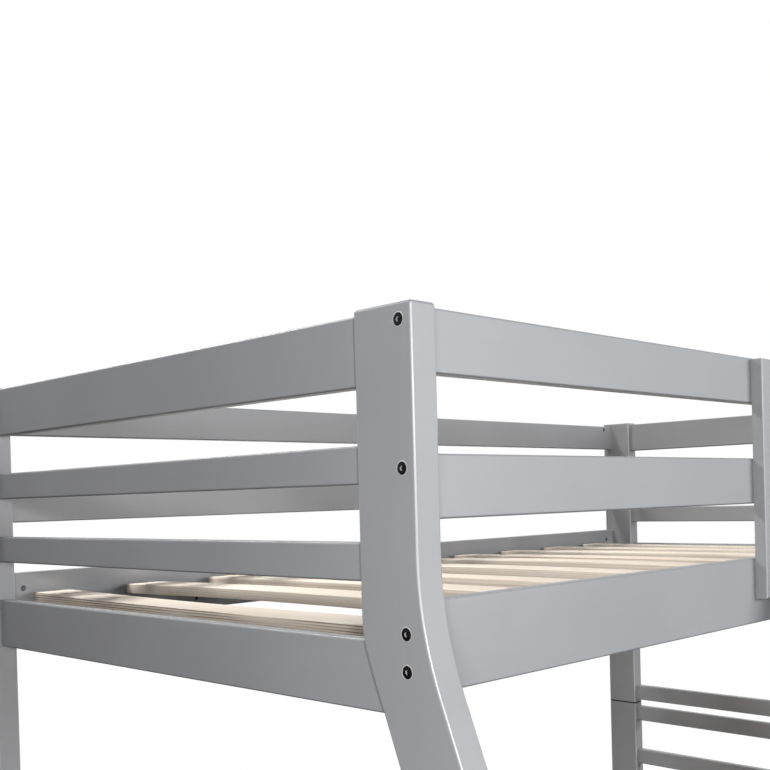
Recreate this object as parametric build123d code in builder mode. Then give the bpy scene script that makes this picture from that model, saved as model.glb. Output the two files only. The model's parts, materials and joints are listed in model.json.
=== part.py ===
from build123d import *
import math
import os

os.makedirs("parts", exist_ok=True)

# Overall sizes in millimetres: +X along the bed, -Y is the front, the floor is Z = 0
bed_length = 2015.0  # over the outer faces of the two ends
upper_width = 1064.0  # over the upper posts, front to back
front_step = 381.0  # the lower front stands this much further out
upper_rail_top = 1338.0  # top edges of the side rails
lower_rail_top = 330.0

# Posts
post_thickness = 38.5  # along the bed
post_width = 87.0  # across the bed
post_round = 4.0
joint_height = 813.0  # the upper ends stand on the lower ends here
joint_bevel = 1.5
post_rise = 3.0  # above the top guard rails
knee_drop = 26.0  # front posts turn outwards this far below the upper side rail's top
outer_bend = 150.0  # radius on the full side of a bend
inner_bend = 400.0  # radius on its hollow side

# Rails
rail_thickness = 19.0
rail_round = 3.0
rail_inset = 10.0  # long rails lie this far behind the posts' faces
side_rail_height = 100.0
guard_height = 70.0
guard_gap = 85.0
back_side_drop = 5.5  # the upper back side rail's top is planed this much lower than the front one's
back_low_drop = 2.0  # the back guard rails lie a little lower than the front ones
back_top_drop = 3.0
back_top_trim = 2.0  # and the top one is this much narrower
ladder_opening = 363.0  # clear width between the two stiles
stile_width = 52.0
stile_thickness = 18.5
stile_overlap = 62.0  # length of a stile's foot on the side rail
stile_top_drop = 2.0  # below the top guard rail's edge
end_rail_height = 78.5
end_slat_height = 43.0
end_top_drop = 1.5  # from the top guard rail's top to the end top rail's top
end_rail_drop = 45.0  # from the side rail's top to the end bed rail's top
tie_rail_gap = 9.5  # from the post joint to the end rails next to it
upper_slat_count = 2  # narrow rails in each upper end
lower_slat_count = 3
tenon_thickness = 12.0
tenon_length = 28.0
tenon_shoulder = 8.0
tenon_end_gap = 1.0

# Decks
slat_count = 10
slat_width = 70.0
slat_thickness = 18.0
slat_round = 2.0
slat_drop = 41.0  # slat tops below the side rails' tops
slat_margin = 55.5  # from a left post's face to the first slat
slat_far_margin = 114.0  # from the last slat to a right post's face
slat_end_gap = 11.0  # from a slat's end to the side rail
ledger_depth = 32.0
ledger_height = 40.0
ledger_margin = 49.0  # from a post's face to a ledger's end
beam_width = 30.0
beam_height = 60.0
leg_size = 40.0
leg_spread = 960.0  # between the two legs under the lower deck

# Ladder
stringer_thickness = 25.0
stringer_depth = 70.0
stringer_rise = 62.0  # above the upper side rail's top
stringer_round = 3.0
stringer_top_round = 14.0
ladder_side_gap = 6.0  # from a stringer to a stile
ladder_gap = 0.4  # from the stringers to the rails that they lean on
tread_count = 4
tread_depth = 60.0
tread_thickness = 22.0
tread_round = 4.0
groove_depth = 8.0
hook_thickness = 4.0
hook_height = 16.0  # of the bar over the side rail
hook_drop = 28.0  # of its tip behind the side rail
hook_tip = 10.0
hook_gap = 0.5  # between hook and side rail
hook_leg_width = 34.0
hook_leg_length = 95.0
hook_round = 4.0

# Hardware
bolt_diameter = 6.0
bolt_head_diameter = 14.0
bolt_head_height = 3.0
bolt_head_round = 0.8
bolt_socket = 5.0
bolt_socket_depth = 2.0
bolt_room = 1.0  # between a bolt and its hole, over the diameter
bolt_head_room = 2.5
bolt_sink_depth = 3.3
bolt_past_nut = 8.0
bolt_tip_gap = 2.0
upper_bolt_drop = 33.5  # below a side rail's top
lower_bolt_drop = 73.0
guard_bolt_drop = 15.0  # below a guard rail's top
guard_dowel_rise = 20.0  # above a guard rail's bottom
nut_diameter = 10.0
nut_length = 14.0
nut_setback = 42.0  # from a rail's end
nut_slot = 1.5
dowel_diameter = 8.0
dowel_length = 30.0
beam_dowel_pitch = 28.0
pin_diameter = 10.0
pin_length = 80.0
pin_setback = 34.0  # from a post's outer edge
screw_diameter = 3.6
screw_head_diameter = 7.0
deck_screw_length = 36.0
ledger_screw_length = 46.0
ledger_screw_count = 7
stile_screw_length = 32.0
stile_screw_pitch = 26.0
tread_screw_length = 52.0
tread_screw_pitch = 30.0
hook_screw_length = 18.0
hook_screw_pitch = 26.0
hook_screw_count = 3
fit = 0.1  # between a pin, dowel, screw or tenon and its hole
hole_end_gap = 1.0

# Heights and places that follow from the sizes above
half_length = bed_length / 2
inner_end = half_length - post_thickness
rail_middle = rail_inset + rail_thickness / 2
rail_inner = rail_inset + rail_thickness
end_inset = (post_thickness - rail_thickness) / 2
end_middle = half_length - post_thickness / 2
end_inner = half_length - end_inset - rail_thickness
low_guard_bottom = upper_rail_top + guard_gap
top_guard_bottom = low_guard_bottom + guard_height + guard_gap
top_guard_top = top_guard_bottom + guard_height
bed_height = top_guard_top + post_rise
slat_seat = slat_drop + slat_thickness
bolt_hole = bolt_diameter + bolt_room
bolt_sink_diameter = bolt_head_diameter + bolt_head_room
stile_outer = ladder_opening / 2 + stile_width

# The ladder leans on the rounded top edges of both front side rails
lean = math.atan2(front_step, upper_rail_top - lower_rail_top)
edge_relief = rail_round * (math.cos(lean) + math.sin(lean) - 1)
lean_offset = rail_inset - (ladder_gap - edge_relief) / math.cos(lean)
stringer_run = stringer_depth / math.cos(lean)
foot_reach = stringer_run + upper_rail_top * math.tan(lean) - lean_offset

back_face = (upper_width + foot_reach) / 2
upper_front = back_face - upper_width
lower_front = upper_front - front_step

# Front posts turn upright again at the lower side rail's top, and keep their width round both bends
upper_knee = upper_rail_top - knee_drop
lower_knee = lower_rail_top
bend_angle = math.atan2(front_step, upper_knee - lower_knee)
inner_knee_drop = post_width * math.tan(bend_angle / 2)
upper_inner_knee = upper_knee - inner_knee_drop
lower_inner_knee = lower_knee - inner_knee_drop


def bent_edge(height, upper_y, upper_turn, lower_turn):
    share = (upper_turn - height) / (upper_turn - lower_turn)
    return upper_y - front_step * min(max(share, 0), 1)


def front_edge(height):
    return bent_edge(height, upper_front, upper_knee, lower_knee)


def inner_edge(height):
    return bent_edge(height, upper_front + post_width, upper_inner_knee, lower_inner_knee)


def ladder_back(height):
    return upper_front + lean_offset + (height - upper_rail_top) * math.tan(lean)


# End rails as (name, bottom, height), with the narrow ones evenly spaced between the others
def narrow_rails(stem, low, high, count):
    gap = (high - low - count * end_slat_height) / (count + 1)
    step = gap + end_slat_height
    return [(f"{stem}_{number + 1}", low + gap + number * step, end_slat_height) for number in range(count)]


upper_bed_top = upper_rail_top - end_rail_drop
upper_top_bottom = top_guard_top - end_top_drop - end_rail_height
upper_end_rails = [
    ("upper_end_tie_rail", joint_height + tie_rail_gap, end_slat_height),
    ("upper_end_bed_rail", upper_bed_top - end_rail_height, end_rail_height),
    ("upper_end_top_rail", upper_top_bottom, end_rail_height),
]
upper_end_rails += narrow_rails("upper_end_slat", upper_bed_top, upper_top_bottom, upper_slat_count)
lower_bed_top = lower_rail_top - end_rail_drop
lower_top_bottom = joint_height - tie_rail_gap - end_slat_height
lower_end_rails = [
    ("lower_end_bed_rail", lower_bed_top - end_rail_height, end_rail_height),
    ("lower_end_top_rail", lower_top_bottom, end_slat_height),
]
lower_end_rails += narrow_rails("lower_end_slat", lower_bed_top, lower_top_bottom, lower_slat_count)

# Connector bolts and dowels of the long rails, as heights
side_bolts = [upper_bolt_drop, lower_bolt_drop]
guard_bolts = [bottom + guard_height - guard_bolt_drop for bottom in (low_guard_bottom, top_guard_bottom)]
guard_dowels = [bottom + guard_dowel_rise for bottom in (low_guard_bottom, top_guard_bottom)]
upper_bolts = [upper_rail_top - drop for drop in side_bolts] + guard_bolts
lower_bolts = [lower_rail_top - drop for drop in side_bolts]
front_middle = upper_front + rail_middle
back_middle = back_face - rail_middle
lower_middle = lower_front + rail_middle


def save(part, name):
    part.label = name
    export_step(part, f"parts/{name}.step")


def save_pair(part, name):
    save(part, name + "_left")
    with BuildPart() as other:
        mirror(part, about=Plane.YZ)
    save(other.part, name + "_right")


def block(x, y, z):
    with Locations(((x[0] + x[1]) / 2, (y[0] + y[1]) / 2, (z[0] + z[1]) / 2)):
        Box(x[1] - x[0], y[1] - y[0], z[1] - z[0])


def drill(points, outward, diameter, depth):
    with Locations(*[Plane(origin=point, z_dir=outward) for point in points]):
        Cylinder(diameter / 2, depth, align=(Align.CENTER, Align.CENTER, Align.MAX), mode=Mode.SUBTRACT)


def countersink(points, outward, depth):
    with Locations(*[Plane(origin=point, z_dir=outward) for point in points]):
        CounterSinkHole(screw_diameter / 2 + fit, screw_head_diameter / 2 + fit, depth)


def tenon(bottom, height, tip, root, room=0.0, mode=Mode.ADD):
    with Locations((-end_middle, (tip + root) / 2, bottom + height / 2)):
        Box(
            tenon_thickness + 2 * room,
            abs(root - tip),
            height - 2 * tenon_shoulder + 2 * room,
            mode=mode,
        )


# Whole posts of the left end, before they are cut at the joint
with BuildPart() as front_post:
    with BuildSketch(Plane.YZ.offset(-half_length)) as front_outline:
        with BuildLine():
            Polyline(
                (upper_front, bed_height),
                (upper_front, upper_knee),
                (lower_front, lower_knee),
                (lower_front, 0),
                (lower_front + post_width, 0),
                (lower_front + post_width, lower_inner_knee),
                (upper_front + post_width, upper_inner_knee),
                (upper_front + post_width, bed_height),
                close=True,
            )
        make_face()
        turns = [
            (upper_front, upper_knee, inner_bend),
            (lower_front, lower_knee, outer_bend),
            (upper_front + post_width, upper_inner_knee, outer_bend),
            (lower_front + post_width, lower_inner_knee, inner_bend),
        ]
        for turn_y, turn_z, radius in turns:
            fillet(front_outline.vertices().sort_by_distance((turn_y, turn_z))[0], radius)
        fillet(front_outline.vertices().group_by(Axis.Y)[-1], post_round)
    extrude(amount=post_thickness)
    plain_front_post = front_post.part
    fillet(front_post.faces().filter_by(Axis.X).edges(), post_round)

with BuildPart() as back_post:
    with BuildSketch(Plane.YZ.offset(-half_length)) as back_outline:
        with Locations((back_face - post_width / 2, bed_height / 2)):
            Rectangle(post_width, bed_height)
        fillet(back_outline.vertices().group_by(Axis.Y)[-1], post_round)
    extrude(amount=post_thickness)
    fillet(back_post.faces().filter_by(Axis.X).edges(), post_round)


# The two halves of each post, with their mortises, bolt holes, dowel holes and pin holes
def post_half(whole, keep, rails, bolts, dowels, bolt_y, face_at, inward, pin_y):
    with BuildPart() as half:
        add(whole)
        split(bisect_by=Plane.XY.offset(joint_height), keep=keep)
        upper_half = keep == Keep.TOP
        joint_face = half.faces().filter_by(Axis.Z).sort_by(Axis.Z)[0 if upper_half else -1]
        chamfer(joint_face.edges(), joint_bevel)
        for _, bottom, height in rails:
            face = face_at(bottom + height / 2)
            tip = face - inward * (tenon_length + tenon_end_gap)
            tenon(bottom, height, tip, face + inward * height, fit, Mode.SUBTRACT)
        with Locations(*[Plane(origin=(-half_length, bolt_y, z), z_dir=(-1, 0, 0)) for z in bolts]):
            CounterBoreHole(bolt_hole / 2, bolt_sink_diameter / 2, bolt_sink_depth, post_thickness)
        if dowels:
            places = [(-inner_end, bolt_y, z) for z in dowels]
            drill(places, (1, 0, 0), dowel_diameter + 2 * fit, dowel_length / 2 + hole_end_gap)
        pin_outward = (0, 0, -1) if upper_half else (0, 0, 1)
        pin_depth = pin_length / 2 + hole_end_gap
        drill([(-end_middle, pin_y, joint_height)], pin_outward, pin_diameter + 2 * fit, pin_depth)
    return half.part


def back_inner(height):
    return back_face - post_width


front_pin_y = front_edge(joint_height) + pin_setback
back_pin_y = back_face - pin_setback
front_halves = [
    ("upper", Keep.TOP, upper_end_rails, upper_bolts, guard_dowels, front_middle),
    ("lower", Keep.BOTTOM, lower_end_rails, lower_bolts, [], lower_middle),
]
for level, keep, rails, bolts, dowels, bolt_y in front_halves:
    front_half = post_half(
        front_post.part, keep, rails, bolts, dowels, bolt_y, inner_edge, 1, front_pin_y
    )
    save_pair(front_half, f"{level}_front_post")
    back_half = post_half(
        back_post.part, keep, rails, bolts, dowels, back_middle, back_inner, -1, back_pin_y
    )
    save_pair(back_half, f"{level}_back_post")

# End rails run between the posts, follow the bent post's edge and have a tenon at each end
lower_beam_dowels = [
    lower_rail_top - slat_seat - beam_height / 2 + side * beam_dowel_pitch / 2 for side in (-1, 1)
]
deck_middle = (lower_front + back_face) / 2
for name, bottom, height in upper_end_rails + lower_end_rails:
    middle = bottom + height / 2
    front_root = inner_edge(middle)
    with BuildPart() as end_rail:
        block(
            (-half_length + end_inset, -end_inner),
            (front_root - post_width / 2, back_inner(middle)),
            (bottom, bottom + height),
        )
        fillet(end_rail.edges().filter_by(Axis.Y), rail_round)
        add(plain_front_post, mode=Mode.SUBTRACT)
        tenon(bottom, height, front_root - tenon_length, front_root + height)
        tenon(bottom, height, back_inner(middle) + tenon_length, back_inner(middle) - height)
        if name == "lower_end_bed_rail":
            places = [(-end_inner, deck_middle, z) for z in lower_beam_dowels]
            drill(places, (1, 0, 0), dowel_diameter + 2 * fit, dowel_length / 2 + hole_end_gap)
    save_pair(end_rail.part, name)


# Holes in one end of a long rail for its bolts, barrel nuts and dowels
def rail_end_holes(side, middle, inward, bolts, dowels):
    end = side * inner_end
    bolt_depth = nut_setback + bolt_past_nut + bolt_tip_gap
    drill([(end, middle, z) for z in bolts], (side, 0, 0), bolt_hole, bolt_depth)
    inner_face = middle + inward * rail_thickness / 2
    nut_places = [(end - side * nut_setback, inner_face, z) for z in bolts]
    nut_depth = (rail_thickness + nut_length) / 2
    drill(nut_places, (0, inward, 0), nut_diameter + 2 * fit, nut_depth)
    if dowels:
        places = [(end, middle, z) for z in dowels]
        drill(places, (side, 0, 0), dowel_diameter + 2 * fit, dowel_length / 2 + hole_end_gap)


# Ledger screws are shared by a side rail and its ledger
ledger_half = inner_end - ledger_margin
ledger_screw_end = ledger_half - ledger_margin
ledger_pitch = 2 * ledger_screw_end / (ledger_screw_count - 1)
ledger_screw_x = [number * ledger_pitch - ledger_screw_end for number in range(ledger_screw_count)]
stile_middle = ladder_opening / 2 + stile_width / 2
stile_screw_x = [stile_middle + side * stile_screw_pitch / 2 for side in (-1, 1)]
stile_foot_z = upper_rail_top - stile_overlap / 2
stile_screw_z = [stile_foot_z, low_guard_bottom + guard_height / 2, top_guard_bottom + guard_height / 2]
screw_hole = screw_diameter + 2 * fit


def side_rail(name, middle, inward, top, drop=0.0):
    inner_face = middle + inward * rail_thickness / 2
    with BuildPart() as rail:
        block(
            (-inner_end, inner_end),
            (middle - rail_thickness / 2, middle + rail_thickness / 2),
            (top - side_rail_height, top - drop),
        )
        fillet(rail.edges().filter_by(Axis.X), rail_round)
        for side in (-1, 1):
            rail_end_holes(side, middle, inward, [top - depth for depth in side_bolts], [])
        ledger_z = top - slat_seat - ledger_height / 2
        places = [(x, inner_face, ledger_z) for x in ledger_screw_x]
        drill(places, (0, inward, 0), screw_hole, ledger_screw_length - ledger_depth + hole_end_gap)
        if name == "upper_front_side_rail":
            places = [(side * x, inner_face, stile_foot_z) for x in stile_screw_x for side in (-1, 1)]
            countersink(places, (0, inward, 0), rail_thickness)
    save(rail.part, name)


side_rails = [
    ("upper_front", front_middle, 1, upper_rail_top, 0.0),
    ("upper_back", back_middle, -1, upper_rail_top, back_side_drop),
    ("lower_front", lower_middle, 1, lower_rail_top, 0.0),
    ("lower_back", back_middle, -1, lower_rail_top, 0.0),
]
for name, middle, inward, top, drop in side_rails:
    side_rail(name + "_side_rail", middle, inward, top, drop)

# Back guard rails run the whole length, front ones stop at the ladder opening
guard_rails = [
    ("low", low_guard_bottom, back_low_drop, 0.0),
    ("top", top_guard_bottom, back_top_drop, back_top_trim),
]
for number, (name, bottom, drop, trim) in enumerate(guard_rails):
    bolts = [guard_bolts[number]]
    dowels = [guard_dowels[number]]
    with BuildPart() as back_guard:
        block(
            (-inner_end, inner_end),
            (back_face - rail_inner, back_face - rail_inset),
            (bottom - drop, bottom - drop + guard_height - trim),
        )
        fillet(back_guard.edges().filter_by(Axis.X), rail_round)
        for side in (-1, 1):
            rail_end_holes(side, back_middle, -1, bolts, dowels)
    save(back_guard.part, f"back_guard_{name}_rail")
    with BuildPart() as front_guard:
        block(
            (-inner_end, -ladder_opening / 2),
            (upper_front + rail_inset, upper_front + rail_inner),
            (bottom, bottom + guard_height),
        )
        fillet(front_guard.edges().filter_by(Axis.X), rail_round)
        rail_end_holes(-1, front_middle, 1, bolts, dowels)
        places = [(-x, upper_front + rail_inner, bottom + guard_height / 2) for x in stile_screw_x]
        countersink(places, (0, 1, 0), rail_thickness)
    save_pair(front_guard.part, f"front_guard_{name}_rail")

# Stiles tie the front guard rails to the side rail on both sides of the ladder opening
stile_screw_grip = stile_screw_length - rail_thickness
with BuildPart() as stile:
    block(
        (-stile_outer, -ladder_opening / 2),
        (upper_front + rail_inset - stile_thickness, upper_front + rail_inset),
        (upper_rail_top - stile_overlap, top_guard_top - stile_top_drop),
    )
    fillet(stile.faces().sort_by(Axis.Y)[0].edges(), rail_round)
    places = [(-x, upper_front + rail_inset, z) for x in stile_screw_x for z in stile_screw_z]
    drill(places, (0, 1, 0), screw_hole, stile_screw_grip + hole_end_gap)
save_pair(stile.part, "guard_stile")

# Decks: ledgers on the side rails and slats across them
first_slat = slat_margin + slat_width / 2 - inner_end
last_slat = inner_end - slat_far_margin - slat_width / 2
slat_pitch = (last_slat - first_slat) / (slat_count - 1)
slat_x = [first_slat + number * slat_pitch for number in range(slat_count)]
slat_bearing = ledger_depth - slat_end_gap
deck_grip = deck_screw_length - slat_thickness


def deck(level, front_face, top):
    front_inner = front_face + rail_inner
    rear_inner = back_face - rail_inner
    seat = top - slat_seat
    screw_setback = slat_end_gap + slat_bearing / 2
    screw_rows = [front_inner + screw_setback, rear_inner - screw_setback]
    ledgers = [
        ("front", (front_inner, front_inner + ledger_depth), 1, screw_rows[0]),
        ("back", (rear_inner - ledger_depth, rear_inner), -1, screw_rows[1]),
    ]
    for name, y, inward, row in ledgers:
        with BuildPart() as ledger:
            block((-ledger_half, ledger_half), y, (seat - ledger_height, seat))
            inner_face = y[1] if inward > 0 else y[0]
            screws = [(x, inner_face, seat - ledger_height / 2) for x in ledger_screw_x]
            countersink(screws, (0, inward, 0), ledger_depth)
            drill([(x, row, seat) for x in slat_x], (0, 0, 1), screw_hole, deck_grip + hole_end_gap)
        save(ledger.part, f"{level}_{name}_ledger")
    slat_length = rear_inner - front_inner - 2 * slat_end_gap
    if level == "lower":
        screw_rows.append(deck_middle)
    with BuildPart() as slats:
        with Locations(*[(x, (front_inner + rear_inner) / 2, seat + slat_thickness / 2) for x in slat_x]):
            Box(slat_width, slat_length, slat_thickness)
        fillet(slats.edges().filter_by(Axis.Y), slat_round)
        places = [(x, row, seat + slat_thickness) for x in slat_x for row in screw_rows]
        countersink(places, (0, 0, 1), slat_thickness)
    save(slats.part, f"{level}_slats")
    return [(x, row, seat + slat_thickness) for x in slat_x for row in screw_rows]


deck_screws = deck("upper", upper_front, upper_rail_top) + deck("lower", lower_front, lower_rail_top)

# The wide lower deck has a beam along its middle, on two legs
beam_top = lower_rail_top - slat_seat
beam_bottom = beam_top - beam_height
leg_x = [-leg_spread / 2, leg_spread / 2]
with BuildPart() as beam:
    block(
        (-end_inner, end_inner),
        (deck_middle - beam_width / 2, deck_middle + beam_width / 2),
        (beam_bottom, beam_top),
    )
    for side in (-1, 1):
        places = [(side * end_inner, deck_middle, z) for z in lower_beam_dowels]
        drill(places, (side, 0, 0), dowel_diameter + 2 * fit, dowel_length / 2 + hole_end_gap)
    drill([(x, deck_middle, beam_top) for x in slat_x], (0, 0, 1), screw_hole, deck_grip + hole_end_gap)
    places = [(x, deck_middle, beam_bottom) for x in leg_x]
    drill(places, (0, 0, -1), dowel_diameter + 2 * fit, dowel_length / 2 + hole_end_gap)
save(beam.part, "lower_centre_beam")

with BuildPart() as legs:
    with Locations(*[(x, deck_middle, beam_bottom / 2) for x in leg_x]):
        Box(leg_size, leg_size, beam_bottom)
    fillet(legs.edges().filter_by(Axis.Z), rail_round)
    places = [(x, deck_middle, beam_bottom) for x in leg_x]
    drill(places, (0, 0, 1), dowel_diameter + 2 * fit, dowel_length / 2 + hole_end_gap)
save(legs.part, "lower_centre_legs")

# Ladder: stringers parallel with the line between the two front side rails
stringer_outer = ladder_opening / 2 - ladder_side_gap
stringer_inner = stringer_outer - stringer_thickness
stringer_top = upper_rail_top + stringer_rise
tread_step = upper_rail_top / (tread_count + 1)
tread_tops = [tread_step * (number + 1) for number in range(tread_count)]


def tread_middle(top):
    return ladder_back(top - tread_thickness / 2) - stringer_run / 2


tread_screws = []
for tread_top in tread_tops:
    for side in (-1, 1):
        screw_y = tread_middle(tread_top) + side * tread_screw_pitch / 2
        tread_screws.append((-stringer_outer, screw_y, tread_top - tread_thickness / 2))
hook_screws = []
for number in range(hook_screw_count):
    screw_z = upper_rail_top - hook_screw_pitch * number
    hook_screws.append((-stringer_inner, ladder_back(screw_z) - stringer_run / 2, screw_z))

with BuildPart() as stringer:
    with BuildSketch(Plane.YZ.offset(-stringer_outer)) as stringer_outline:
        with BuildLine():
            Polyline(
                (ladder_back(0), 0),
                (ladder_back(stringer_top), stringer_top),
                (ladder_back(stringer_top) - stringer_run, stringer_top),
                (ladder_back(0) - stringer_run, 0),
                close=True,
            )
        make_face()
        fillet(stringer_outline.vertices().group_by(Axis.Y)[-1], stringer_top_round)
    extrude(amount=stringer_thickness)
    side_edges = stringer.faces().filter_by(Axis.X).edges()
    fillet(side_edges - side_edges.group_by(Axis.Z)[0], stringer_round)
    for tread_top in tread_tops:
        groove_top = tread_top + fit
        groove_bottom = tread_top - tread_thickness - fit
        with Locations((-stringer_inner, tread_middle(tread_top), (groove_top + groove_bottom) / 2)):
            Box(2 * groove_depth, tread_depth + 2 * fit, groove_top - groove_bottom, mode=Mode.SUBTRACT)
    countersink(tread_screws, (-1, 0, 0), stringer_thickness)
    drill(hook_screws, (1, 0, 0), screw_hole, hook_screw_length - hook_thickness + hole_end_gap)
save_pair(stringer.part, "ladder_stringer")

tread_half = stringer_inner + groove_depth - fit
tread_grip = tread_screw_length - (stringer_thickness - groove_depth)
with BuildPart() as treads:
    for tread_top in tread_tops:
        with Locations((0, tread_middle(tread_top), tread_top - tread_thickness / 2)):
            Box(2 * tread_half, tread_depth, tread_thickness)
    fillet(treads.edges().filter_by(Axis.X), tread_round)
    for side in (-1, 1):
        places = [(side * tread_half, y, z) for _, y, z in tread_screws]
        drill(places, (side, 0, 0), screw_hole, tread_grip + hole_end_gap)
save(treads.part, "ladder_treads")

# Steel hooks on the stringers' inner faces go over the upper side rail
rail_back = upper_front + rail_inner + hook_gap
bar_bottom = upper_rail_top + hook_gap
bar_top = bar_bottom + hook_height
hook_leg_bottom = bar_top - hook_leg_length


def hook_edge(height, side):
    return ladder_back(height) - stringer_run / 2 + side * hook_leg_width / 2


with BuildPart() as hooks:
    with BuildSketch(Plane.YZ.offset(-stringer_inner)) as hook_outline:
        with BuildLine():
            Polyline(
                (hook_edge(hook_leg_bottom, -1), hook_leg_bottom),
                (hook_edge(hook_leg_bottom, 1), hook_leg_bottom),
                (hook_edge(bar_bottom, 1), bar_bottom),
                (rail_back, bar_bottom),
                (rail_back, upper_rail_top - hook_drop),
                (rail_back + hook_tip, upper_rail_top - hook_drop),
                (rail_back + hook_tip, bar_top),
                (hook_edge(bar_top, -1), bar_top),
                close=True,
            )
        make_face()
        corners = hook_outline.vertices()
        fillet(corners.group_by(Axis.Y)[-1] + corners.group_by(Axis.Y)[0], hook_round)
    extrude(amount=hook_thickness)
    places = [(-stringer_inner + hook_thickness, y, z) for _, y, z in hook_screws]
    countersink(places, (1, 0, 0), hook_thickness)
    mirror(about=Plane.YZ)
save(hooks.part, "ladder_hooks")

# Connector bolts with their barrel nuts
bolt_reach = post_thickness - bolt_sink_depth + nut_setback + bolt_past_nut
with BuildPart() as bolt:
    Cylinder(bolt_head_diameter / 2, bolt_head_height, align=(Align.CENTER, Align.CENTER, Align.MIN))
    fillet(bolt.edges().group_by(Axis.Z)[-1], bolt_head_round)
    with BuildSketch(Plane.XY.offset(bolt_head_height)):
        RegularPolygon(bolt_socket / 2, 6, major_radius=False)
    extrude(amount=-bolt_socket_depth, mode=Mode.SUBTRACT)
    Cylinder(bolt_diameter / 2, bolt_reach, align=(Align.CENTER, Align.CENTER, Align.MAX))

with BuildPart() as nut:
    Cylinder(nut_diameter / 2, nut_length)
    Cylinder(bolt_diameter / 2 + fit, nut_diameter, rotation=(0, 90, 0), mode=Mode.SUBTRACT)
    with Locations((0, 0, nut_length / 2)):
        Box(nut_slot, nut_diameter, 2 * nut_slot, mode=Mode.SUBTRACT)

bolt_rows = [(front_middle, 1, upper_bolts), (back_middle, -1, upper_bolts)]
bolt_rows += [(lower_middle, 1, lower_bolts), (back_middle, -1, lower_bolts)]
with BuildPart() as bolts:
    for middle, inward, heights in bolt_rows:
        seats = [(bolt_sink_depth - half_length, middle, z) for z in heights]
        with Locations(*[Plane(origin=seat, z_dir=(-1, 0, 0)) for seat in seats]):
            add(bolt.part)
    mirror(about=Plane.YZ)
save(bolts.part, "connector_bolts")

with BuildPart() as nuts:
    for middle, inward, heights in bolt_rows:
        seats = [(nut_setback - inner_end, middle, z) for z in heights]
        with Locations(*[Plane(origin=seat, x_dir=(1, 0, 0), z_dir=(0, inward, 0)) for seat in seats]):
            add(nut.part)
    mirror(about=Plane.YZ)
save(nuts.part, "barrel_nuts")

# Wooden dowels in the guard rails, the centre beam and its legs
with BuildPart() as dowels:
    for middle in (front_middle, back_middle):
        with Locations(*[(-inner_end, middle, z) for z in guard_dowels]):
            Cylinder(dowel_diameter / 2, dowel_length, rotation=(0, 90, 0))
    with Locations(*[(-end_inner, deck_middle, z) for z in lower_beam_dowels]):
        Cylinder(dowel_diameter / 2, dowel_length, rotation=(0, 90, 0))
    with Locations((leg_x[0], deck_middle, beam_bottom)):
        Cylinder(dowel_diameter / 2, dowel_length)
    mirror(about=Plane.YZ)
save(dowels.part, "wood_dowels")

# Steel pins between the upper and lower posts
with BuildPart() as pins:
    with Locations(*[(-end_middle, y, joint_height) for y in (front_pin_y, back_pin_y)]):
        Cylinder(pin_diameter / 2, pin_length)
    mirror(about=Plane.YZ)
save(pins.part, "post_joint_pins")


# Countersunk screws, with their heads a fit below the surface
def screw(length):
    head_height = (screw_head_diameter - screw_diameter) / 2
    with BuildPart() as made:
        with Locations((0, 0, -fit)):
            Cone(
                screw_diameter / 2,
                screw_head_diameter / 2,
                head_height,
                align=(Align.CENTER, Align.CENTER, Align.MAX),
            )
            Cylinder(screw_diameter / 2, length - fit, align=(Align.CENTER, Align.CENTER, Align.MAX))
    return made.part


def place_screws(length, points, outward):
    with Locations(*[Plane(origin=point, z_dir=outward) for point in points]):
        add(screw(length))


with BuildPart() as slat_screws:
    place_screws(deck_screw_length, deck_screws, (0, 0, 1))
save(slat_screws.part, "slat_screws")

with BuildPart() as ledger_screws:
    for _, middle, inward, top, _ in side_rails:
        ledger_face = middle + inward * (rail_thickness / 2 + ledger_depth)
        places = [(x, ledger_face, top - slat_seat - ledger_height / 2) for x in ledger_screw_x]
        place_screws(ledger_screw_length, places, (0, inward, 0))
save(ledger_screws.part, "ledger_screws")

with BuildPart() as stile_screws:
    places = [(-x, upper_front + rail_inner, z) for x in stile_screw_x for z in stile_screw_z]
    place_screws(stile_screw_length, places, (0, 1, 0))
    mirror(about=Plane.YZ)
save(stile_screws.part, "stile_screws")

with BuildPart() as ladder_screws:
    place_screws(tread_screw_length, tread_screws, (-1, 0, 0))
    places = [(-stringer_inner + hook_thickness, y, z) for _, y, z in hook_screws]
    place_screws(hook_screw_length, places, (1, 0, 0))
    mirror(about=Plane.YZ)
save(ladder_screws.part, "ladder_screws")
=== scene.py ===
import json
import math

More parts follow.
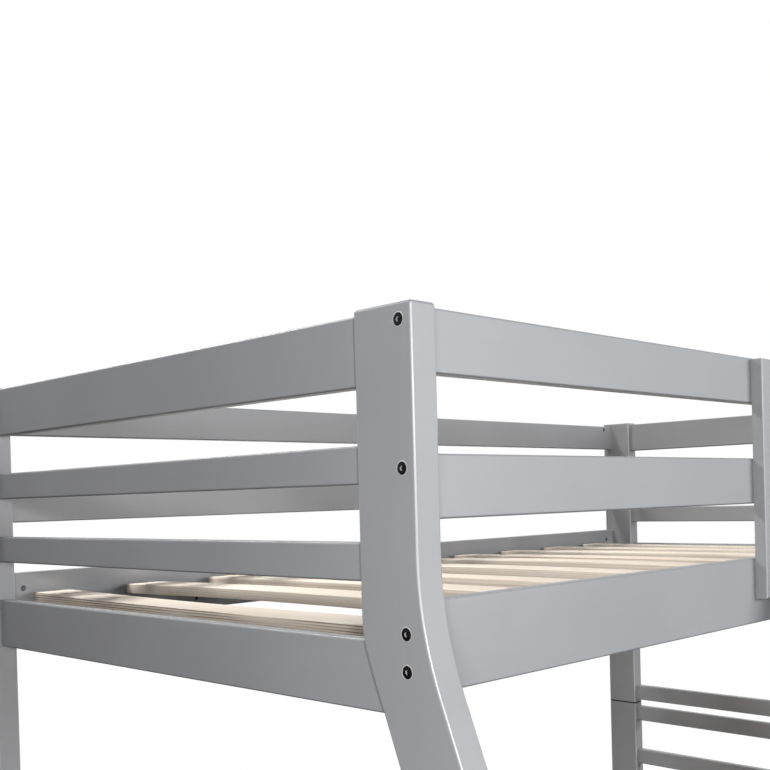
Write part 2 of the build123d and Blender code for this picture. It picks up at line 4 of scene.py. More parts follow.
import bmesh
import bpy
from mathutils import Euler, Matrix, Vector


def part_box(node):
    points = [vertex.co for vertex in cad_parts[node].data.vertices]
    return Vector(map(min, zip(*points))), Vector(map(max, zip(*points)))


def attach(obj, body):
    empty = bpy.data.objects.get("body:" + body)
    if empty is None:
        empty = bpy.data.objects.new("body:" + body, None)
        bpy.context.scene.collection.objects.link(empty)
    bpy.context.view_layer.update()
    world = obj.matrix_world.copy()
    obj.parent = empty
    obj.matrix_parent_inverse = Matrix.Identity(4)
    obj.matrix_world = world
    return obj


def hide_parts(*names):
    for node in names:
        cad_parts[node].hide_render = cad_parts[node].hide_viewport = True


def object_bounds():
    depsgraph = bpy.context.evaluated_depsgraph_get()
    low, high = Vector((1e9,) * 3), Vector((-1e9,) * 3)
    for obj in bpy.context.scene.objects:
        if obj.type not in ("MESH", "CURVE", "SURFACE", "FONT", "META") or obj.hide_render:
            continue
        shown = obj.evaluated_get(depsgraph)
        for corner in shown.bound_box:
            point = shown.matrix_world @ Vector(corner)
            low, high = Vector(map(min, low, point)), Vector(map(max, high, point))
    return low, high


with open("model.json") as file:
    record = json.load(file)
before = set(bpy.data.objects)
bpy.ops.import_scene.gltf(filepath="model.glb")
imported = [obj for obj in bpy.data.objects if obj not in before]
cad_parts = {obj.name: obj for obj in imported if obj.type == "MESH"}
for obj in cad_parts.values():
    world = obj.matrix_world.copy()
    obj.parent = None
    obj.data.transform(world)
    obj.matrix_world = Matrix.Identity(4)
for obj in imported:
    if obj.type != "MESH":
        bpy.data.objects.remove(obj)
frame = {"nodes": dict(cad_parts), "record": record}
nodes = frame["nodes"]
cadLow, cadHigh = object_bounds()
scene = bpy.context.scene
scene.view_settings.view_transform = "Standard"
print("frame loaded,", len(nodes), "nodes")


# Shader maths: a wrapped socket adds its own Math nodes
class Wire:
    def __init__(self, finish, socket):
        self.finish = finish
        self.socket = socket

    def math(self, operation, *values):
        return self.finish.node("ShaderNodeMath", {"operation": operation}, dict(enumerate(values)))

    def __add__(self, other):
        return self.math("ADD", self, other)

    def __radd__(self, other):
        return self.math("ADD", other, self)

    def __sub__(self, other):
        return self.math("SUBTRACT", self, other)

    def __rsub__(self, other):
        return self.math("SUBTRACT", other, self)

    def __mul__(self, other):
        return self.math("MULTIPLY", self, other)

    def __rmul__(self, other):
        return self.math("MULTIPLY", other, self)

    def __truediv__(self, other):
        return self.math("DIVIDE", self, other)

    def __rtruediv__(self, other):
        return self.math("DIVIDE", other, self)

    def __pow__(self, other):
        return self.math("POWER", self, other)

    def __rpow__(self, other):
        return self.math("POWER", other, self)

    def __mod__(self, other):
        return self.math("FLOORED_MODULO", self, other)

    def __rmod__(self, other):
        return self.math("FLOORED_MODULO", other, self)

    def floor(self):
        return self.math("FLOOR", self)

    def size(self):
        return self.math("ABSOLUTE", self)

    def either(self, other):
        return self.math("MAXIMUM", self, other)

    def between(self, low, high):  # 0 below low, 1 above high, smooth in between
        settings = {"interpolation_type": "SMOOTHSTEP"}
        inputs = {"Value": self, "From Min": low, "From Max": high}
        return self.finish.node("ShaderNodeMapRange", settings, inputs)

    def also(self, output):  # another output of the same node
        return Wire(self.finish, self.socket.node.outputs[output])


class Finish:  # the node tree of a material, or of the sky
    def __init__(self, owner, outKind="ShaderNodeOutputMaterial"):
        owner.use_nodes = True
        self.owner = owner
        self.tree = owner.node_tree
        self.tree.nodes.clear()
        self.out = self.tree.nodes.new(outKind)

    def node(self, kind, settings=None, inputs=None, output=0):
        made = self.tree.nodes.new(kind)
        for key, value in (settings or {}).items():
            setattr(made, key, value)
        for key, value in (inputs or {}).items():
            if isinstance(value, Wire):
                self.tree.links.new(value.socket, made.inputs[key])
            else:
                made.inputs[key].default_value = value
        return Wire(self, made.outputs[output])

    def place(self, scale=(1, 1, 1)):
        spot = self.node("ShaderNodeTexCoord", output="Object")
        return self.node("ShaderNodeMapping", None, {"Vector": spot, "Scale": scale})

    def stretched(self, axis, across, along):  # finer across a board than along it
        scale = [across] * 3
        scale[axis] = along
        return self.place(scale)

    def split(self, vector):  # x first, y and z as its other outputs
        return self.node("ShaderNodeSeparateXYZ", None, {0: vector})

    def facing(self):  # the surface's direction
        return self.split(self.node("ShaderNodeNewGeometry", output="Normal"))

    def noise(self, vector, size=1.0, detail=2.0, rough=0.55):
        inputs = {"Vector": vector, "Scale": size, "Detail": detail, "Roughness": rough}
        return self.node("ShaderNodeTexNoise", None, inputs)

    def blend(self, factor, first, second):
        settings = {"data_type": "RGBA", "clamp_factor": True}
        inputs = {0: factor, 6: first, 7: second}  # 6 and 7 are the colours
        return self.node("ShaderNodeMix", settings, inputs, output=2)

    def bump(self, height, strength, distance):
        inputs = {"Height": height, "Strength": strength, "Distance": distance}
        return self.node("ShaderNodeBump", None, inputs)

    def surface(self, **sockets):
        names = {"colour": "Base Color", "rough": "Roughness", "metal": "Metallic", "normal": "Normal"}
        names.update(gloss="Specular IOR Level", coat="Coat Weight", coatRough="Coat Roughness")
        inputs = {names[key]: value for key, value in sockets.items()}
        return self.show(self.node("ShaderNodeBsdfPrincipled", None, inputs))

    def show(self, shader):
        self.tree.links.new(shader.socket, self.out.inputs["Surface"])
        return self.owner


def newFinish(name):
    return Finish(bpy.data.materials.new(name))


def rgba(colour):
    return (*colour, 1)


# Camera at the photograph's place
viewSet = {
    "place": (-1.80421, -0.99394, 1.44725),
    "turn": (89.4399, 1.5487, -44.7698),
    "lens": 49.684,
    "sensor": 36,
    "shift": (0.0098, 0.1603),
}
bpy.ops.object.select_all(action="DESELECT")
bpy.ops.object.camera_add(location=viewSet["place"])
camera = bpy.context.object
camera.rotation_euler = Euler([math.radians(angle) for angle in viewSet["turn"]], "XYZ")
camera.data.lens = viewSet["lens"]
camera.data.sensor_width = viewSet["sensor"]
camera.data.shift_x, camera.data.shift_y = viewSet["shift"]
scene.camera = camera

# Soft studio light: a strip and a small key by the near post, a broad lamp on the front,
# four narrow ones from high up over the bed, and a wide one behind it
lampSet = {
    "strip": {"place": (-1.75, -0.78, 1.3), "aim": (-1.0, -0.2, 1.3), "size": (0.35, 1.4), "power": 4.6},
    "key": {"place": (-2.2, -1.7, 1.75), "aim": (-0.9, -0.1, 1.3), "size": (0.2, 0.2), "power": 16},
    "right": {"place": (1.4, -3.0, 1.95), "aim": (0.0, 0.0, 1.2), "size": (1.8, 0.9), "power": 70,
              "tint": (0.955, 0.978, 1.0)},
    "corner": {"place": (-1.4, 1.7, 3.2), "aim": (-0.5, 0.4, 1.3), "size": (0.3, 0.3), "power": 2.3,
               "spread": 0.95},
    "rim": {"place": (-1.0, 2.2, 3.4), "aim": (-0.6, 0.4, 1.3), "size": (0.3, 0.3), "power": 6,
            "spread": 0.95},
    "far": {"place": (0.2, 1.4, 3.0), "aim": (0.6, 0.4, 1.3), "size": (0.3, 0.3), "power": 2.4,
            "spread": 1.0},
    "over": {"place": (-0.6, 0.2, 3.2), "aim": (0.7, 0.4, 1.4), "size": (0.3, 0.3), "power": 0.7,
             "spread": 0.8},
    "back": {"place": (2.6, 3.6, 0.9), "aim": (0.3, 0.5, 0.9), "size": (2.5, 1.2), "power": 24},
}
for name, lamp in lampSet.items():
    bpy.ops.object.light_add(type="AREA", location=lamp["place"])
    made = bpy.context.object
    made.name = name + "Lamp"
    made.data.shape = "RECTANGLE"
    made.data.size, made.data.size_y = lamp["size"]
    made.data.energy = lamp["power"]
    made.data.spread = lamp.get("spread", math.pi)
    made.data.color = lamp.get("tint", (1, 1, 1))
    aim = Vector(lamp["aim"]) - Vector(lamp["place"])
    made.rotation_euler = aim.to_track_quat("-Z", "Y").to_euler()

# White surroundings to the camera and in reflections, but only a dim even light from them
skySet = {"colour": (1, 1, 1), "seen": 1.0, "light": 0.03}
studio = Finish(bpy.data.worlds.new("studio"), "ShaderNodeOutputWorld")
ray = studio.node("ShaderNodeLightPath")
seen = ray.also("Is Camera Ray").either(ray.also("Is Glossy Ray")).either(ray.also("Is Transmission Ray"))
strength = skySet["light"] + seen * (skySet["seen"] - skySet["light"])
sky = studio.node("ShaderNodeBackground", None, {"Color": rgba(skySet["colour"]), "Strength": strength})
scene.world = studio.show(sky)
print("camera, lamps and sky set")

# Grey paint over pine: the grain still shows as fine streaks along each board
paintSet = {
    "colour": (0.47, 0.475, 0.49),
    "shade": (0.43, 0.434, 0.447),
    "grain": (170.0, 4.0),  # fineness across and along a board
    "grainDetail": (5.0, 0.6),  # the noise's detail and roughness
    "cloud": 5.0,
    "cloudTurn": (0.3, 0.7),  # where it starts and where it is full, as for the other turns
    "dust": 900.0,
    "rough": 0.45,
    "roughPlay": 0.12,
    "gloss": 0.22,
    "grainHeight": 0.8,  # share of the relief, the rest is dust
    "relief": (0.18, 0.0007),  # strength and distance
    "topTurn": (0.6, 0.9),  # end rails are smoother where they face up
    "topCoat": 0.6,
    "edge": (0.68, 0.685, 0.70),  # painted highlight: posts and stiles get a paler colour along their eased edges, and a glossier coat there
    "edgeTurn": (0.34, 0.47),
    "edgeRough": 0.22,
    "gap": (0.05, 0.05, 0.052),  # painted shade: near black, for the groove where an upper post stands on a lower one and under the eased lower edges
    "gapHalf": 0.0014,
    "under": 0.55,  # painted shade: how far the eased lower edges go towards the painted shade's colour
    "underTurn": (0.2, 0.55),
    "flatTurn": (0.93, 0.99),  # flat undersides keep less of it
    "flatLoss": 0.6,
    "ledgerShade": 0.36,  # painted shade: the ledgers get a darker copy of the paint, with this share of its colours
}


def greyPaint(axis, shadeShare=1.0, joint=0.0):
    ending = ("Dim" if shadeShare < 1 else "") + ("Post" if joint else "")
    finish = newFinish("greyPaint" + "XYZ"[axis] + ending)
    grain = finish.noise(finish.stretched(axis, *paintSet["grain"]), 1.0, *paintSet["grainDetail"])
    cloud = finish.noise(finish.place(), paintSet["cloud"]).between(*paintSet["cloudTurn"])
    dust = finish.noise(finish.place(), paintSet["dust"])
    # painted shade: a share below 1 makes a darker, shaded copy of the paint
    colour, shade = [[channel * shadeShare for channel in paintSet[key]] for key in ("colour", "shade")]
    colour = finish.blend((cloud + grain) / 2, rgba(colour), rgba(shade))
    way = finish.facing()
    up = way.also(2)
    sockets = {"gloss": paintSet["gloss"]}
    if axis == 1:
        top = up.between(*paintSet["topTurn"])
        sockets.update(coat=top * paintSet["topCoat"], coatRough=paintSet["edgeRough"])
    if axis == 2:
        # painted highlight: the middle of each eased edge gets the paler colour, with a gloss coat on top
        edge = (way.size() * way.also(1).size()).between(*paintSet["edgeTurn"])
        colour = finish.blend(edge, colour, rgba(paintSet["edge"]))
        sockets.update(coat=edge, coatRough=paintSet["edgeRough"])
    # painted shade: eased lower edges, and less so flat undersides, go darker towards the shade colour
    down = 0 - up
    flat = down.between(*paintSet["flatTurn"])
    lower = down.between(*paintSet["underTurn"]) * (1 - paintSet["flatLoss"] * flat)
    colour = finish.blend(lower * paintSet["under"], colour, rgba(paintSet["gap"]))
    # painted shade: a near-black band at the height where the upper post stands on the lower one, for the
    # groove's shade
    if joint:
        height = finish.split(finish.place()).also(2)
        gap = 1 - (height - joint).size().between(paintSet["gapHalf"], 2 * paintSet["gapHalf"])
        colour = finish.blend(gap, colour, rgba(paintSet["gap"]))
    relief = grain * paintSet["grainHeight"] + dust * (1 - paintSet["grainHeight"])
    normal = finish.bump(relief, *paintSet["relief"])
    rough = paintSet["rough"] + (dust - 0.5) * paintSet["roughPlay"]
    return finish.surface(colour=colour, rough=rough, normal=normal, **sockets)


# Planed pine: growth rings round a heart below each board, so its face shows long bands
pineSet = {
    "early": (0.97, 0.872, 0.75),
    "late": (0.74, 0.565, 0.43),
    "ringStep": 0.0038,
    "heart": 0.045,  # depth of the rings' centre under the board
    "heartPitch": 0.4,  # the centres repeat at this height
    "tree": 2.0,  # fineness of the change from one tree's wood to another's
    "waver": 0.007,
    "waverGrain": (9.0, 1.1),  # fineness across and along a board, also for the next two
    "fibreGrain": (420.0, 6.0),
    "knotGrain": (14.0, 5.0),
    "fibreDetail": (4.0, 0.65),
    "ringRise": (0.5, 0.9),  # late wood grows dark slowly and stops at once
    "ringFall": (0.93, 1.0),
    "tone": {"late": 0.6, "fibre": 0.4, "tree": 0.2, "all": 0.02},
    "knot": (0.42, 0.25, 0.14),
    "knotTurn": (0.04, 0.13),
    "knotFray": 0.06,
    "knotShare": 0.85,
    "rough": 0.62,
    "roughPlay": 0.15,
    "fibreHeight": 0.6,  # share of the relief, the rest is late wood
    "relief": (0.2, 0.0004),
}
# Dark lines along the boards' edges, strongest on the first board
seamSet = {
    "colour": (0.23, 0.15, 0.11),
    "step": 0.0039,
    "waver": 0.004,
    "shift": 0.01,
    "rise": (0.42, 0.66),
    "fall": (0.84, 1.0),
    "sideTurn": (0.5, 0.8),
    "grain": (60.0, 5.0),
    "patchTurn": (0.25, 0.6),
    "first": 0.94,
    "others": 0.12,
    "firstTurn": (0.2, 0.8),
}


def barePine(axis, boards=None):
    finish = newFinish("barePine" + "XYZ"[axis] + ("Boards" if boards else ""))
    spot = finish.split(finish.place())
    across, deep = [spot.also(side) for side in range(3) if side != axis]
    if boards:  # each board has its own cut and its own tone
        fromFirst = across - boards["first"]
        board = (fromFirst / boards["step"]).floor()
        chance = finish.node("ShaderNodeTexWhiteNoise", {"noise_dimensions": "1D"}, {"W": board})
        across = fromFirst - board * boards["step"] - boards["width"] / 2 + (chance - 0.5) * boards["width"]
    else:
        chance = finish.noise(finish.place(), pineSet["tree"], 0.0)
    waver = finish.noise(finish.stretched(axis, *pineSet["waverGrain"])) - 0.5
    fibre = finish.noise(finish.stretched(axis, *pineSet["fibreGrain"]), 1.0, *pineSet["fibreDetail"])
    height = deep % pineSet["heartPitch"] - pineSet["heartPitch"] / 2 + pineSet["heart"] * (1 + chance)
    radius = (across * across + height * height) ** 0.5 + waver * pineSet["waver"]
    ring = (radius / pineSet["ringStep"]) % 1.0
    late = ring.between(*pineSet["ringRise"]) * (1 - ring.between(*pineSet["ringFall"]))
    share = pineSet["tone"]
    tone = late * share["late"] + (fibre - 0.5) * share["fibre"]
    tone = tone + (chance - 0.5) * share["tree"] + share["all"]
    colour = finish.blend(tone, rgba(pineSet["early"]), rgba(pineSet["late"]))
    knotSpot = finish.stretched(axis, *pineSet["knotGrain"])
    cell = finish.node("ShaderNodeTexVoronoi", None, {"Vector": knotSpot, "Scale": 1.0})
    knot = 1 - (cell + (fibre - 0.5) * pineSet["knotFray"]).between(*pineSet["knotTurn"])
    colour = finish.blend(knot * pineSet["knotShare"], colour, rgba(pineSet["knot"]))
    if boards:
        layer = ((deep + waver * seamSet["waver"] + chance * seamSet["shift"]) / seamSet["step"]) % 1.0
        seam = layer.between(*seamSet["rise"]) * (1 - layer.between(*seamSet["fall"]))
        upright = finish.facing().size().between(*seamSet["sideTurn"])
        patch = finish.noise(finish.stretched(axis, *seamSet["grain"])).between(*seamSet["patchTurn"])
        first = 1 - board.between(*seamSet["firstTurn"])
        strong = seamSet["others"] + (seamSet["first"] - seamSet["others"]) * first
        colour = finish.blend(seam * upright * patch * strong, colour, rgba(seamSet["colour"]))
    relief = fibre * pineSet["fibreHeight"] + late * (1 - pineSet["fibreHeight"])
    normal = finish.bump(relief, *pineSet["relief"])
    rough = pineSet["rough"] + (fibre - 0.5) * pineSet["roughPlay"]
    return finish.surface(colour=colour, rough=rough, normal=normal)


# Steel: faint wear in the tone and the gloss, and a very fine grit
steelSet = {
    "wear": 400.0,
    "wearDetail": 3.0,
    "worn": 0.7,
    "roughPlay": 0.15,
    "grit": 2500.0,
    "relief": (0.08, 0.0001),
}


def steelFinish(name, colour, rough, metal, gloss=0.5):
    finish = newFinish(name)
    wear = finish.noise(finish.place(), steelSet["wear"], steelSet["wearDetail"])
    worn = [channel * steelSet["worn"] for channel in colour]
    colour = finish.blend(wear, rgba(colour), rgba(worn))
    normal = finish.bump(finish.noise(finish.place(), steelSet["grit"]), *steelSet["relief"])
    rough = rough + (wear - 0.5) * steelSet["roughPlay"]
    return finish.surface(colour=colour, rough=rough, metal=metal, normal=normal, gloss=gloss)


# Upper slats: their places give the boards' grain, their bow is used further down
slatSet = {
    "count": 10,
    "width": 0.070,
    "round": 0.002,
    "roundSteps": 3,
    "endSteps": 2,
    "sections": 16,
    # rise of each board's middle over its ends, read off the photograph
    "bow": (-0.0040, 0.0059, 0.0031, 0.0022, 0.0062, 0.0081, 0.0039, 0.0040, 0.0017, -0.0013),
}
slatLow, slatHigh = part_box("upper_slats")
slatStep = (slatHigh.x - slatLow.x - slatSet["width"]) / (slatSet["count"] - 1)
slatX = [slatLow.x + slatSet["width"] / 2 + number * slatStep for number in range(slatSet["count"])]
slatStart = slatLow.x - (slatStep - slatSet["width"]) / 2

paints = [greyPaint(axis) for axis in range(3)]
# painted shade: the ledgers lie in shade under the slats, so they get a darker copy of the grey paint
ledgerShadedPaint = greyPaint(0, shadeShare=paintSet["ledgerShade"])
postPaint = greyPaint(2, joint=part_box("upper_front_post_left")[0].z)
pines = [barePine(axis) for axis in range(3)]
slatPine = barePine(1, {"first": slatStart, "step": slatStep, "width": slatSet["width"]})
blackSteel = steelFinish("blackSteel", (0.006, 0.006, 0.007), rough=0.36, metal=0.0, gloss=0.16)
zincSteel = steelFinish("zincSteel", (0.62, 0.62, 0.6), rough=0.32, metal=1.0)
paleSteel = steelFinish("paleSteel", (0.90, 0.90, 0.89), rough=0.45, metal=0.2)
nutSteel = steelFinish("nutSteel", (0.15, 0.15, 0.155), rough=0.4, metal=0.5)
slotFinish = {  # for pieces that are longest in x, y or z
    "grey_paint": paints,
    "bare_pine": pines,
    "black_steel": [blackSteel] * 3,
    "zinc_steel": [zincSteel] * 3,
    "dowel_wood": pines,
}
slotOf = {row["node"]: row["material_slot"] for row in frame["record"]["subparts"]}
for name, piece in nodes.items():
    low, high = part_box(name)
    span = list(high - low)
    finish = slotFinish[slotOf[name]][span.index(max(span))]
    if name.endswith("_slats"):
        finish = slatPine
    if name.endswith("_ledger"):
        finish = ledgerShadedPaint
    if "_post_" in name:
        finish = postPaint
    if name == "barrel_nuts":
        finish = nutSteel
    piece.data.materials.clear()
    piece.data.materials.append(finish)
print("finishes set")

# Modelling by hand: faces or edges are picked by their place, then shaped by the edit operators
pickSet = {"square": 0.99, "same": 1e-6, "long": 0.01, "smooth": math.radians(35)}


def startPiece():
    if bpy.context.object and bpy.context.object.mode != "OBJECT":
        bpy.ops.object.mode_set(mode="OBJECT")
    bpy.ops.object.select_all(action="DESELECT")


def pick(kind, test):
    bpy.ops.object.mode_set(mode="EDIT")
    bpy.ops.mesh.select_all(action="DESELECT")
    bpy.ops.mesh.select_mode(type="FACE" if kind == "faces" else "EDGE")
    mesh = bmesh.from_edit_mesh(bpy.context.object.data)
    for item in getattr(mesh, kind):
        item.select_set(test(item))
    bmesh.update_edit_mesh(bpy.context.object.data)


def facesTo(axis, *signs):
    return lambda face: any(face.normal[axis] * sign > pickSet["square"] for sign in signs)


def edgesAt(axis, place):
    return lambda edge: all(abs(corner.co[axis] - place) < pickSet["same"] for corner in edge.verts)


def edgesAlong(axis):
    return lambda edge: abs(edge.verts[0].co[axis] - edge.verts[1].co[axis]) > pickSet["long"]


def pushOut(distance):  # extrudes the picked faces along z
    bpy.ops.mesh.extrude_region_move(TRANSFORM_OT_translate={"value": (0, 0, distance)})


def cutAway(piece, cutter):
    startPiece()
    bpy.context.view_layer.objects.active = piece
    carve = piece.modifiers.new("carve", "BOOLEAN")
    carve.operation = "DIFFERENCE"
    carve.object = cutter
    bpy.ops.object.modifier_apply(modifier=carve.name)
    bpy.data.objects.remove(cutter)


# Joins parts into one piece at the origin, with their places in its mesh
def joinParts(parts, name, body):
    startPiece()
    for part in parts:
        part.select_set(True)
    bpy.context.view_layer.objects.active = parts[0]
    bpy.ops.object.join()
    joined = bpy.context.object
    bpy.ops.object.transform_apply(location=True, rotation=True, scale=True)
    bpy.ops.object.shade_smooth_by_angle(angle=pickSet["smooth"])
    joined.name = name
    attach(joined, body)
    return joined


# Copies one modelled piece to its places, its z axis turned outwards, and joins the copies
def copyTo(piece, places, name, finishes, body):
    for finish in finishes:
        piece.data.materials.append(finish)
    copies = []
    for point, outward in places:
        startPiece()
        piece.select_set(True)
        bpy.context.view_layer.objects.active = piece
        bpy.ops.object.duplicate(linked=False)
        made = bpy.context.object
        made.location = point
        made.rotation_euler = Vector(outward).to_track_quat("Z", "Y").to_euler()
        copies.append(made)
    joined = joinParts(copies, name, body)
    bpy.data.objects.remove(piece)
    return joined


# Upper slats: planed boards with eased edges, each warped a little up or down
slatParts = []
slatLength = slatHigh.y - slatLow.y
slatMiddle = (slatLow.y + slatHigh.y) / 2
for x, bow in zip(slatX, slatSet["bow"]):
    startPiece()
    bpy.ops.mesh.primitive_cube_add(size=1, location=(x, slatMiddle, (slatLow.z + slatHigh.z) / 2))
    slat = bpy.context.object
    slat.scale = (slatSet["width"], slatLength, slatHigh.z - slatLow.z)
    bpy.ops.object.transform_apply(location=True, rotation=True, scale=True)
    pick("edges", edgesAlong(1))
    bpy.ops.mesh.subdivide(number_cuts=slatSet["sections"] - 1)
    pick("edges", edgesAlong(1))
    bpy.ops.mesh.bevel(offset=slatSet["round"], segments=slatSet["roundSteps"], affect="EDGES")
    pick("faces", facesTo(1, -1, 1))
    bpy.ops.mesh.bevel(offset=slatSet["round"] / 2, segments=slatSet["endSteps"], affect="EDGES")
    pick("edges", edgesAt(1, slatMiddle))
    bpy.ops.transform.translate(
        value=(0, 0, bow),
        use_proportional_edit=True,
        proportional_edit_falloff="INVERSE_SQUARE",
        proportional_size=slatLength / 2,
    )
    bpy.ops.object.mode_set(mode="OBJECT")
    slat.data.materials.append(slatPine)
    slatParts.append(slat)
slats = joinParts(slatParts, "upperSlats", "frame")
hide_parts("upper_slats")
heights = [corner.co.z for corner in slats.data.vertices]
print("slats bowed, from", round(min(heights), 4), "to", round(max(heights), 4))

# Connector bolts: a low round head with a hex socket, on its shank
boltSet = {
    "head": 0.014,
    "headHeight": 0.003,
    "round": 0.0008,
    "roundSteps": 4,
    "sides": 40,
    "socket": 0.005,
    "socketDepth": 0.002,
    "shank": 0.006,
    "pastNut": 0.013,  # from the nuts' outer side to the shank's tip
    "sideDrops": (0.0335, 0.073),  # below a side rail's top
    "guardDrop": 0.015,
    "sag": 0.0004,  # heads lie this far below the middle of their bores
}
boltLow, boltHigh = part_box("connector_bolts")
boltRows = []
for level in ("upper", "lower"):
    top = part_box(level + "_front_side_rail")[1].z
    for rail in ("front", "back"):
        low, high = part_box(f"{level}_{rail}_side_rail")
        boltRows += [((low.y + high.y) / 2, top - drop) for drop in boltSet["sideDrops"]]
for level in ("low", "top"):
    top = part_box(f"front_guard_{level}_rail_left")[1].z
    for rail in (f"front_guard_{level}_rail_left", f"back_guard_{level}_rail"):
        low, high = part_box(rail)
        boltRows.append(((low.y + high.y) / 2, top - boltSet["guardDrop"]))


def atBothEnds(left, right, sag=0.0):  # bolt rows at the bed's left end, then at its right
    ends = ((left, (-1, 0, 0)), (right, (1, 0, 0)))
    return [((x, y, z - sag), outward) for x, outward in ends for y, z in boltRows]


boltPlaces = atBothEnds(boltLow.x, boltHigh.x, boltSet["sag"])
startPiece()
bpy.ops.mesh.primitive_cylinder_add(
    vertices=boltSet["sides"],
    radius=boltSet["head"] / 2,
    depth=boltSet["headHeight"],
    location=(0, 0, -boltSet["headHeight"] / 2),
)
bolt = bpy.context.object
bpy.ops.object.transform_apply(location=True)
pick("edges", edgesAt(2, 0.0))
bpy.ops.mesh.bevel(offset=boltSet["round"], segments=boltSet["roundSteps"], affect="EDGES")
pick("faces", facesTo(2, -1))
bpy.ops.mesh.inset(thickness=(boltSet["head"] - boltSet["shank"]) / 2)
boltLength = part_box("barrel_nuts")[0].x + boltSet["pastNut"] - boltLow.x
pushOut(boltSet["headHeight"] - boltLength)
startPiece()
bpy.ops.mesh.primitive_cylinder_add(
    vertices=6,
    radius=boltSet["socket"] / math.sqrt(3),
    depth=2 * boltSet["socketDepth"],
)
cutAway(bolt, bpy.context.object)
for polygon in bolt.data.polygons:  # painted highlight: the socket's walls get the pale steel, standing in for the light they reflect
    spot = polygon.center
    inside = spot.xy.length < boltSet["socket"] and spot.z > -boltSet["socketDepth"]
    if inside and abs(polygon.normal.z) < 0.5:
        polygon.material_index = 1
bolts = copyTo(bolt, boltPlaces, "connectorBolts", [blackSteel, paleSteel], "frame")
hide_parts("connector_bolts")
print("bolts made,", len(boltPlaces))

# A pale sleeve lines the bore round each head
boreSet = {
    "bore": 0.0165,
    "depth": 0.0033,
    "sunk": 0.0002,
    "round": 0.0004,
    "roundSteps": 3,
    "headRoom": 0.0001,
}
startPiece()
bpy.ops.mesh.primitive_cylinder_add(
    vertices=boltSet["sides"],
    radius=boreSet["bore"] / 2,
    depth=boreSet["depth"] - boreSet["sunk"],
    location=(0, 0, -(boreSet["depth"] + boreSet["sunk"]) / 2),
)
lining = bpy.context.object
bpy.ops.object.transform_apply(location=True)
pick("edges", edgesAt(2, -boreSet["sunk"]))
bpy.ops.mesh.bevel(offset=boreSet["round"], segments=boreSet["roundSteps"], affect="EDGES")
startPiece()
bpy.ops.mesh.primitive_cylinder_add(
    vertices=boltSet["sides"],
    radius=boltSet["head"] / 2 + boreSet["headRoom"],
    depth=3 * boreSet["depth"],
    location=(0, -boltSet["sag"], 0),
)
cutAway(lining, bpy.context.object)
copyTo(lining, atBothEnds(cadLow.x, cadHigh.x), "boreLinings", [paleSteel], "frame")
print("bores lined")

# Countersunk screws with a cross recess and a pointed tip
screwSet = {
    "shank": 0.0036,
    "head": 0.007,
    "sides": 12,
    "recess": 0.0038,
    "slot": 0.001,
    "recessDepth": 0.0012,
    "tip": 0.004,
    "tipShare": 0.1,  # of the shank's width
    "sunk": 0.0001,  # heads lie this far below the wood
}


def makeScrew(length):
    sink = (screwSet["head"] - screwSet["shank"]) / 2
    startPiece()
    bpy.ops.mesh.primitive_cone_add(
        vertices=screwSet["sides"],
        radius1=screwSet["shank"] / 2,
        radius2=screwSet["head"] / 2,
        depth=sink,
        location=(0, 0, -sink / 2 - screwSet["sunk"]),
    )
    screw = bpy.context.object
    bpy.ops.object.transform_apply(location=True)
    pick("faces", facesTo(2, -1))
    pushOut(sink + screwSet["tip"] + screwSet["sunk"] - length)
    pushOut(-screwSet["tip"])
    bpy.ops.transform.resize(value=(screwSet["tipShare"], screwSet["tipShare"], 1))
    for turn in (0, 90):
        startPiece()
        bpy.ops.mesh.primitive_cube_add(size=1, location=(0, 0, -screwSet["sunk"]))
        blade = bpy.context.object
        blade.rotation_euler.z = math.radians(turn)
        blade.scale = (screwSet["recess"], screwSet["slot"], 2 * screwSet["recessDepth"])
        bpy.ops.object.transform_apply(location=True, rotation=True, scale=True)
        cutAway(screw, blade)
    return screw


# Slats to ledgers, and to the beam in the wide lower deck
slatScrews = []
for level in ("upper", "lower"):
    low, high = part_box(level + "_slats")
    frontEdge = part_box(level + "_front_ledger")[1].y
    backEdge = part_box(level + "_back_ledger")[0].y
    rows = [(low.y + frontEdge) / 2, (high.y + backEdge) / 2]
    if level == "lower":
        beamLow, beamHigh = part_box("lower_centre_beam")
        rows.append((beamLow.y + beamHigh.y) / 2)
    for x, bow in zip(slatX, slatSet["bow"]):
        lift = bow if level == "upper" else 0
        for y in rows:
            rise = lift * (1 - ((y - slatMiddle) / (slatLength / 2)) ** 2)
            slatScrews.append(((x, y, high.z + rise), (0, 0, 1)))

# Ledgers to side rails
ledgerSet = {"count": 7, "margin": 0.049}
ledgerScrews = []
for name in ("upper_front_ledger", "lower_front_ledger", "upper_back_ledger", "lower_back_ledger"):
    low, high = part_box(name)
    inward = 1 if "front" in name else -1
    face = high.y if inward > 0 else low.y
    reach = high.x - ledgerSet["margin"]
    for number in range(ledgerSet["count"]):
        x = reach * (2 * number / (ledgerSet["count"] - 1) - 1)
        ledgerScrews.append(((x, face, (low.z + high.z) / 2), (0, inward, 0)))

# Stiles to the front rails, from behind
stileSet = {"pitch": 0.026}
stileLow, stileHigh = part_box("guard_stile_left")
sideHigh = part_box("upper_front_side_rail")[1]
stileZ = [(stileLow.z + sideHigh.z) / 2]
for name in ("front_guard_low_rail_left", "front_guard_top_rail_left"):
    low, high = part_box(name)
    stileZ.append((low.z + high.z) / 2)
stileX = [(stileLow.x + stileHigh.x) / 2 + side * stileSet["pitch"] / 2 for side in (-1, 1)]
stileScrews = [((x * side, sideHigh.y, z), (0, 1, 0)) for x in stileX for z in stileZ for side in (-1, 1)]

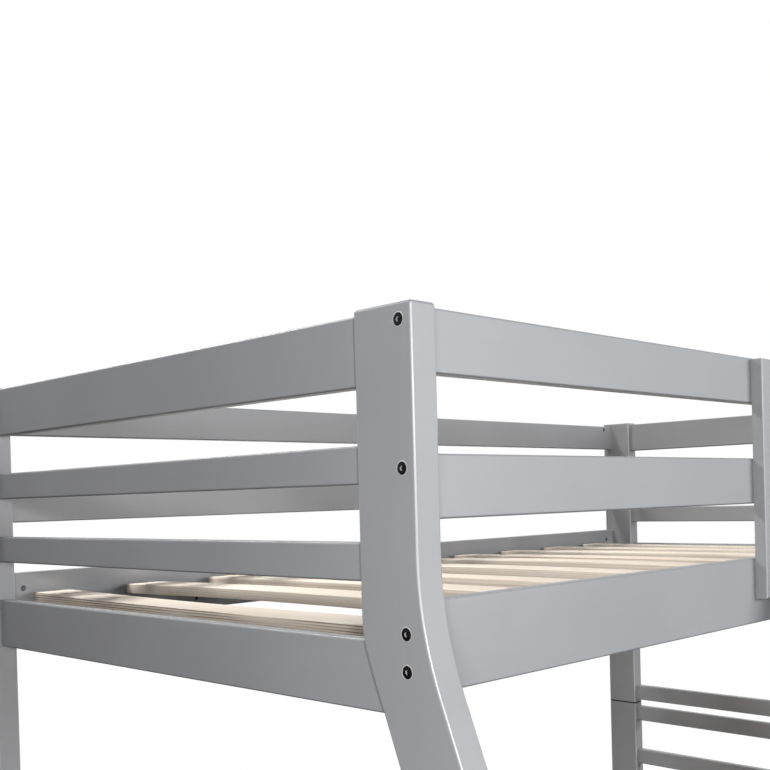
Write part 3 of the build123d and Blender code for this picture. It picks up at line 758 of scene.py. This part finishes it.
# Ladder: two screws in each tread end, three in each hook
ladderSet = {
    "treads": 4,
    "treadHalf": 0.011,
    "treadPitch": 0.03,
    "depth": 0.07,
    "hookScrews": 3,
    "hookPitch": 0.026,
    "hook": 0.004,  # the hooks' sheet
}
lowerSideLow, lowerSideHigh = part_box("lower_front_side_rail")
lean = math.atan2(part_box("upper_front_side_rail")[0].y - lowerSideLow.y, sideHigh.z - lowerSideHigh.z)
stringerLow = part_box("ladder_stringer_left")[0]
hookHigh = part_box("ladder_hooks")[1]
middleFoot = stringerLow.y + ladderSet["depth"] / math.cos(lean) / 2
treadStep = sideHigh.z / (ladderSet["treads"] + 1)
treadScrews, hookScrews = [], []
for side in (-1, 1):
    for number in range(ladderSet["treads"]):
        z = treadStep * (number + 1) - ladderSet["treadHalf"]
        for shift in (-0.5, 0.5):
            y = middleFoot + z * math.tan(lean) + shift * ladderSet["treadPitch"]
            treadScrews.append(((-side * stringerLow.x, y, z), (side, 0, 0)))
    for number in range(ladderSet["hookScrews"]):
        z = sideHigh.z - number * ladderSet["hookPitch"]
        y = middleFoot + z * math.tan(lean)
        hookScrews.append(((side * (hookHigh.x - ladderSet["hook"]), y, z), (-side, 0, 0)))

screwJobs = [  # piece, node, length, places, body
    ("slatScrews", "slat_screws", 0.036, slatScrews, "frame"),
    ("ledgerScrews", "ledger_screws", 0.046, ledgerScrews, "frame"),
    ("stileScrews", "stile_screws", 0.032, stileScrews, "frame"),
    ("treadScrews", "ladder_screws", 0.052, treadScrews, "ladder"),
    ("hookScrews", "ladder_screws", 0.018, hookScrews, "ladder"),
]
for name, node, length, places, body in screwJobs:
    finish = slotFinish[slotOf[node]][0]
    screws = copyTo(makeScrew(length), places, name, [finish], body)
    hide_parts(node)
print("screws made,", sum(len(job[3]) for job in screwJobs))

# Floor: takes the shadow near the bed and is plain white further out
floorSet = {"size": 60.0, "drop": 0.0005, "colour": (0.79, 0.79, 0.79), "near": 1.2, "far": 2.3}
startPiece()
bpy.ops.mesh.primitive_plane_add(size=floorSet["size"], location=(0, 0, -floorSet["drop"]))
floor = bpy.context.object
floor.name = "floor"
paleFloor = newFinish("paleFloor")
spot = paleFloor.place()
away = paleFloor.node("ShaderNodeVectorMath", {"operation": "LENGTH"}, {0: spot}, output="Value")
toCamera = paleFloor.node("ShaderNodeLightPath", output="Is Camera Ray")
plain = away.between(floorSet["near"], floorSet["far"]) * toCamera
lit = paleFloor.node("ShaderNodeBsdfDiffuse", None, {"Color": rgba(floorSet["colour"])})
glow = {"Color": rgba(skySet["colour"]), "Strength": skySet["seen"]}
white = paleFloor.node("ShaderNodeEmission", None, glow)
mixed = paleFloor.node("ShaderNodeMixShader", None, {0: plain, 1: lit, 2: white})
floor.data.materials.append(paleFloor.show(mixed))
